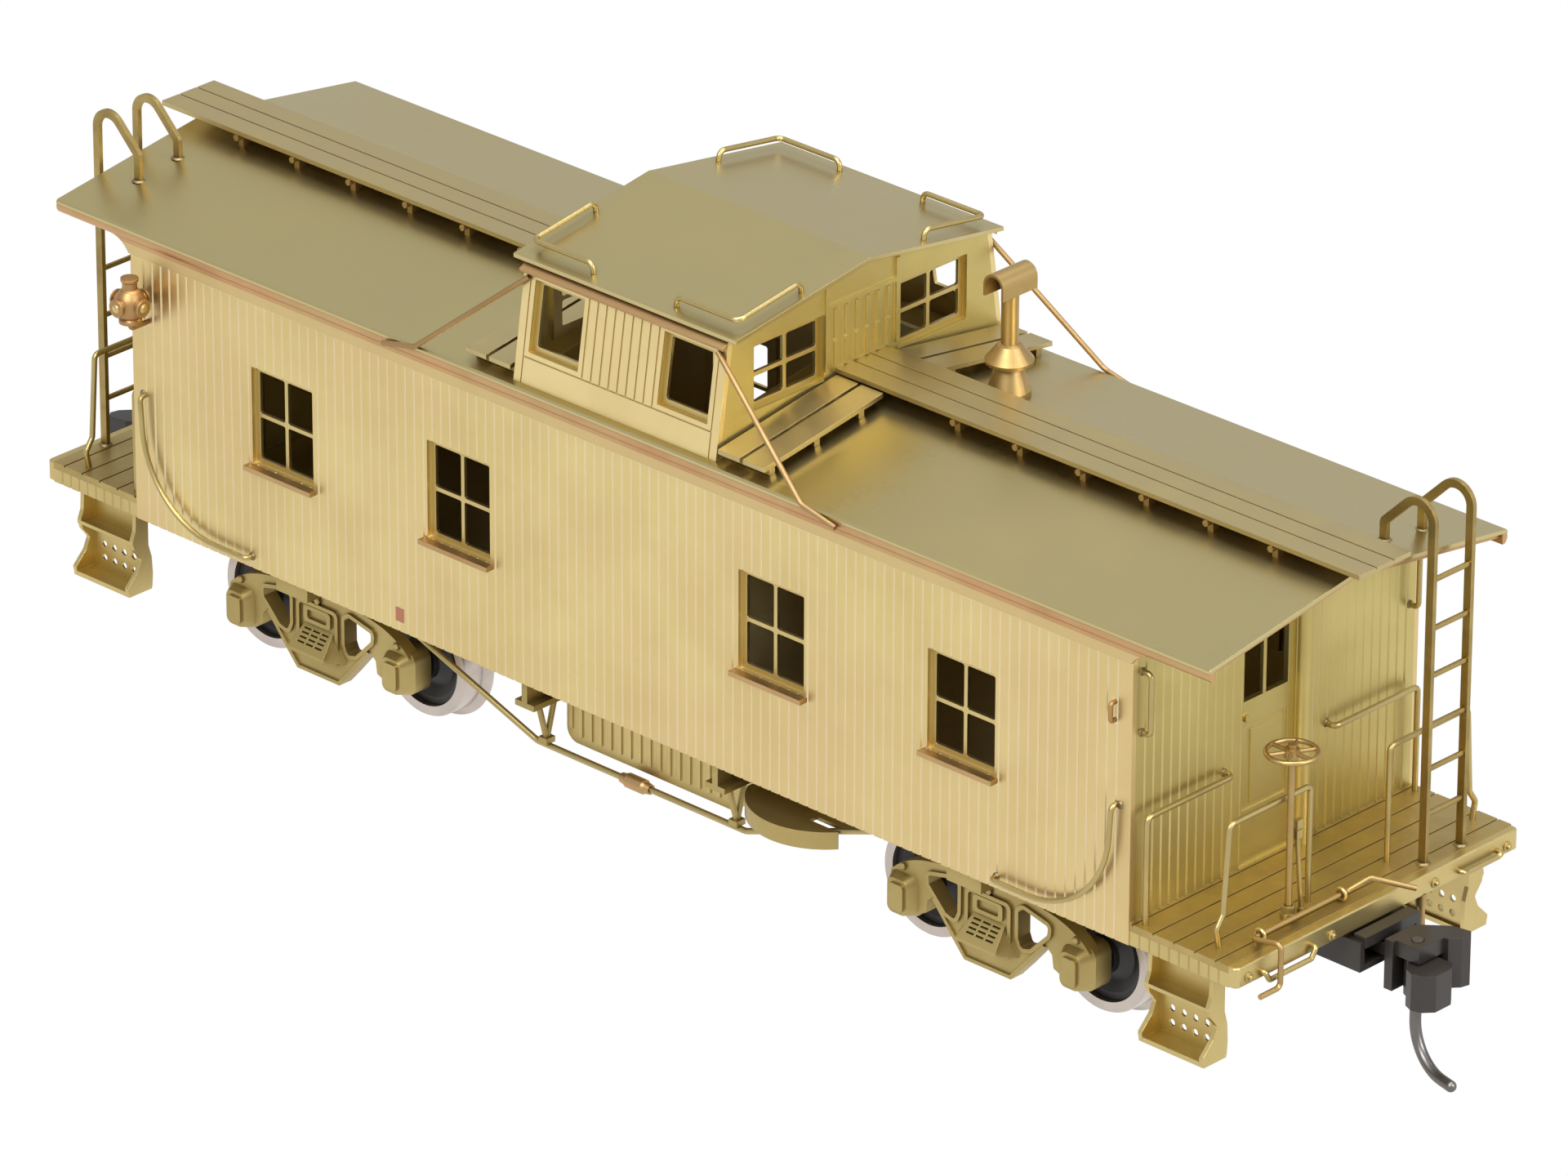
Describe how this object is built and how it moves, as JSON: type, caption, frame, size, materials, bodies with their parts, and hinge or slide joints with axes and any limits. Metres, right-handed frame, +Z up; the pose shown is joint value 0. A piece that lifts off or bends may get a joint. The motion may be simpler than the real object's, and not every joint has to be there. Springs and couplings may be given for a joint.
{
  "type": "model railway caboose",
  "caption": "Wood-sided caboose for a model railway in soldered brass: cupola, end platforms with ladders, steps and hand brakes, swivelling trucks and knuckle couplers.",
  "frame": {"origin": "middle of the car in plan, at the height of the lowest point of the wheel flanges", "axes": "+X along the car towards the end named front, +Y across it to the left, +Z up; the rail head is 0.64 mm above the origin"},
  "size_m": [0.1488, 0.04, 0.0503],
  "materials": {
    "brass": "bare etched and soldered brass, satin",
    "copper_brass": "bare brass with a copper tint, satin",
    "nickel_silver": "turned metal, satin",
    "black_plastic": "moulded, matt",
    "steel": "slotted screw, satin"
  },
  "bodies": {
    "car_body": {"air_hoses": "copper_brass", "board_saddles": "brass", "body_bolsters": "brass", "brace_rods": "copper_brass", "brake_stands": "brass", "centre_sill": "brass", "coupler_boxes": "brass", "cupola_ends": "brass", "cupola_roof": "brass", "cupola_sashes": "brass", "cupola_sides": "brass", "cupola_visors": "copper_brass", "eave_boards": "copper_brass", "end_beams": "brass", "end_doors": "brass", "end_flues": "brass", "end_railings": "brass", "end_walls": "brass", "equipment_box": "brass", "floor_plate": "brass", "grab_irons": "brass", "king_screws": "steel", "ladder_rungs": "brass", "ladder_stiles": "brass", "lateral_walks": "brass", "main_roof": "brass", "marker_lamps": "copper_brass", "needle_beams": "brass", "platform_decks": "brass", "roof_grab_rails": "copper_brass", "running_boards": "brass", "side_wall_left": "brass", "side_wall_right": "brass", "smoke_jack": "brass", "steps": "brass", "truss_rods": "brass", "turnbuckles": "brass", "underfloor_pan": "brass", "window_sashes": "brass", "window_sills": "copper_brass"},
    "truck_front": {"truck_frames_front": "brass"},
    "draft_front": {"coupler_front": "black_plastic"},
    "jaw_front": {"knuckle_front": "black_plastic", "trip_pin_front": "black_plastic"},
    "hand_brake_front": {"brake_wheel_front": "brass"},
    "lever_front": {"cut_lever_front": "brass"},
    "truck_rear": {"truck_frames_rear": "brass"},
    "draft_rear": {"coupler_rear": "black_plastic"},
    "jaw_rear": {"knuckle_rear": "black_plastic", "trip_pin_rear": "black_plastic"},
    "hand_brake_rear": {"brake_wheel_rear": "brass"},
    "lever_rear": {"cut_lever_rear": "brass"},
    "wheelset_1": {"wheel_rims_1": "nickel_silver", "axle_1": "black_plastic"},
    "wheelset_2": {"wheel_rims_2": "nickel_silver", "axle_2": "black_plastic"},
    "wheelset_3": {"wheel_rims_3": "nickel_silver", "axle_3": "black_plastic"},
    "wheelset_4": {"wheel_rims_4": "nickel_silver", "axle_4": "black_plastic"}
  },
  "joints": [
    {"name": "truck_swivel_front", "type": "hinge", "parent": "car_body", "child": "truck_front", "pos_m": [0.037, 0, 0.00854], "axis": [0, 0, 1], "range_deg": [-12, 12]},
    {"name": "wheelset_spin_1", "type": "hinge", "parent": "truck_front", "child": "wheelset_1", "pos_m": [0.04605, 0, 0.00545], "axis": [0, 1, 0], "continuous": true},
    {"name": "wheelset_spin_2", "type": "hinge", "parent": "truck_front", "child": "wheelset_2", "pos_m": [0.02795, 0, 0.00545], "axis": [0, 1, 0], "continuous": true},
    {"name": "coupler_swing_front", "type": "hinge", "parent": "car_body", "child": "draft_front", "pos_m": [0.0608, 0, 0.01009], "axis": [0, 0, 1], "range_deg": [-8, 8], "stiffness_Nm_per_rad": 0.002},
    {"name": "knuckle_hinge_front", "type": "hinge", "parent": "draft_front", "child": "jaw_front", "pos_m": [0.0692, 0, 0.00824], "axis": [0, 0, 1], "range_deg": [-25, 0], "stiffness_Nm_per_rad": 0.001, "springref_deg": 5.73},
    {"name": "brake_wheel_turn_front", "type": "hinge", "parent": "car_body", "child": "hand_brake_front", "pos_m": [0.06245, -0.0073, 0.02064], "axis": [0, 0, 1], "continuous": true},
    {"name": "cut_lever_lift_front", "type": "hinge", "parent": "car_body", "child": "lever_front", "pos_m": [0.0635, -0.006, 0.01409], "axis": [0, 1, 0], "range_deg": [-35, 0]},
    {"name": "truck_swivel_rear", "type": "hinge", "parent": "car_body", "child": "truck_rear", "pos_m": [-0.037, 0, 0.00854], "axis": [0, 0, 1], "range_deg": [-12, 12]},
    {"name": "wheelset_spin_3", "type": "hinge", "parent": "truck_rear", "child": "wheelset_3", "pos_m": [-0.02795, 0, 0.00545], "axis": [0, 1, 0], "continuous": true},
    {"name": "wheelset_spin_4", "type": "hinge", "parent": "truck_rear", "child": "wheelset_4", "pos_m": [-0.04605, 0, 0.00545], "axis": [0, 1, 0], "continuous": true},
    {"name": "coupler_swing_rear", "type": "hinge", "parent": "car_body", "child": "draft_rear", "pos_m": [-0.0608, 0, 0.01009], "axis": [0, 0, 1], "range_deg": [-8, 8], "stiffness_Nm_per_rad": 0.002},
    {"name": "knuckle_hinge_rear", "type": "hinge", "parent": "draft_rear", "child": "jaw_rear", "pos_m": [-0.0692, 0, 0.00824], "axis": [0, 0, 1], "range_deg": [-25, 0], "stiffness_Nm_per_rad": 0.001, "springref_deg": 5.73},
    {"name": "brake_wheel_turn_rear", "type": "hinge", "parent": "car_body", "child": "hand_brake_rear", "pos_m": [-0.06245, 0.0073, 0.02064], "axis": [0, 0, 1], "continuous": true},
    {"name": "cut_lever_lift_rear", "type": "hinge", "parent": "car_body", "child": "lever_rear", "pos_m": [-0.0635, 0.006, 0.01409], "axis": [0, 1, 0], "range_deg": [0, 35]}
  ]
}
